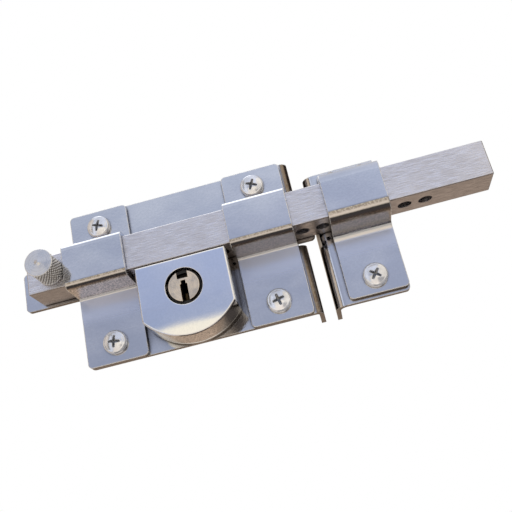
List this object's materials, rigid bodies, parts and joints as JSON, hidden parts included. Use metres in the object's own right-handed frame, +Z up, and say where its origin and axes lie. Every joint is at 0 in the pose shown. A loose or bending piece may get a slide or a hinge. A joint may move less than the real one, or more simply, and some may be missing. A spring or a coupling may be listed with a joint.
{
  "type": "rim lock",
  "caption": "Surface-mounted rim lock: a square sliding bolt in bent guides on a flanged plate, locked by the key cylinder below it, with a separate keeper for the door frame.",
  "frame": {"origin": "centre of the four mounting screws, on the door face, which is the back of the base plate", "axes": "+X along the bolt towards its nose, +Y into the door, +Z up"},
  "size_m": [0.2085, 0.0479, 0.0723],
  "materials": {
    "polished_plate": "polished, bright-plated sheet steel",
    "polished_housing": "polished, bright-plated casting",
    "brushed_bar": "satin, brushed along its length",
    "knurled_steel": "knurled, bright-plated turned steel",
    "nickelled_brass": "nickel-plated turned brass",
    "zinc_screw": "bright zinc-plated",
    "plain_brass": "turned brass",
    "plain_steel": "plain steel"
  },
  "bodies": {
    "lock_body": {"base_plate": "polished_plate", "left_guide": "polished_plate", "right_guide": "polished_plate", "cylinder_housing": "polished_housing", "housing_screws": "zinc_screw", "cylinder_body": "nickelled_brass", "cylinder_screws": "zinc_screw", "chamber_cap": "plain_brass", "driver_pins": "plain_brass", "pin_springs": "plain_steel", "slide_rails": "plain_steel", "mounting_screws": "zinc_screw"},
    "bolt": {"bolt_bar": "brushed_bar", "bolt_knob": "knurled_steel", "knob_stud": "plain_steel", "bolt_stop_pin": "plain_steel"},
    "plug": {"cylinder_plug": "nickelled_brass", "plug_circlip": "plain_steel", "key_pins": "plain_brass"},
    "dog": {"dog_slide": "plain_steel", "dog_pin": "plain_steel"},
    "keeper": {"keeper_plate": "polished_plate", "keeper_strap": "polished_plate", "keeper_rivets": "zinc_screw", "keeper_screw": "zinc_screw"}
  },
  "joints": [
    {"name": "bolt_slide", "type": "slide", "parent": "lock_body", "child": "bolt", "axis": [1, 0, 0], "range_m": [-0.088, 0]},
    {"name": "plug_turn", "type": "hinge", "parent": "lock_body", "child": "plug", "pos_m": [0, -0.01, -0.0153], "axis": [0, 1, 0], "range_deg": [0, 90]},
    {"name": "dog_lift", "type": "slide", "parent": "lock_body", "child": "dog", "axis": [0, 0, 1], "range_m": [0, 0.0036]},
    {"name": "keeper_pull", "type": "slide", "parent": "lock_body", "child": "keeper", "axis": [1, 0, 0], "range_m": [0, 0.1]}
  ],
  "couplings": [
    {"joint": "dog_lift", "follows": "plug_turn", "m_per_rad": 0.0022918}
  ]
}
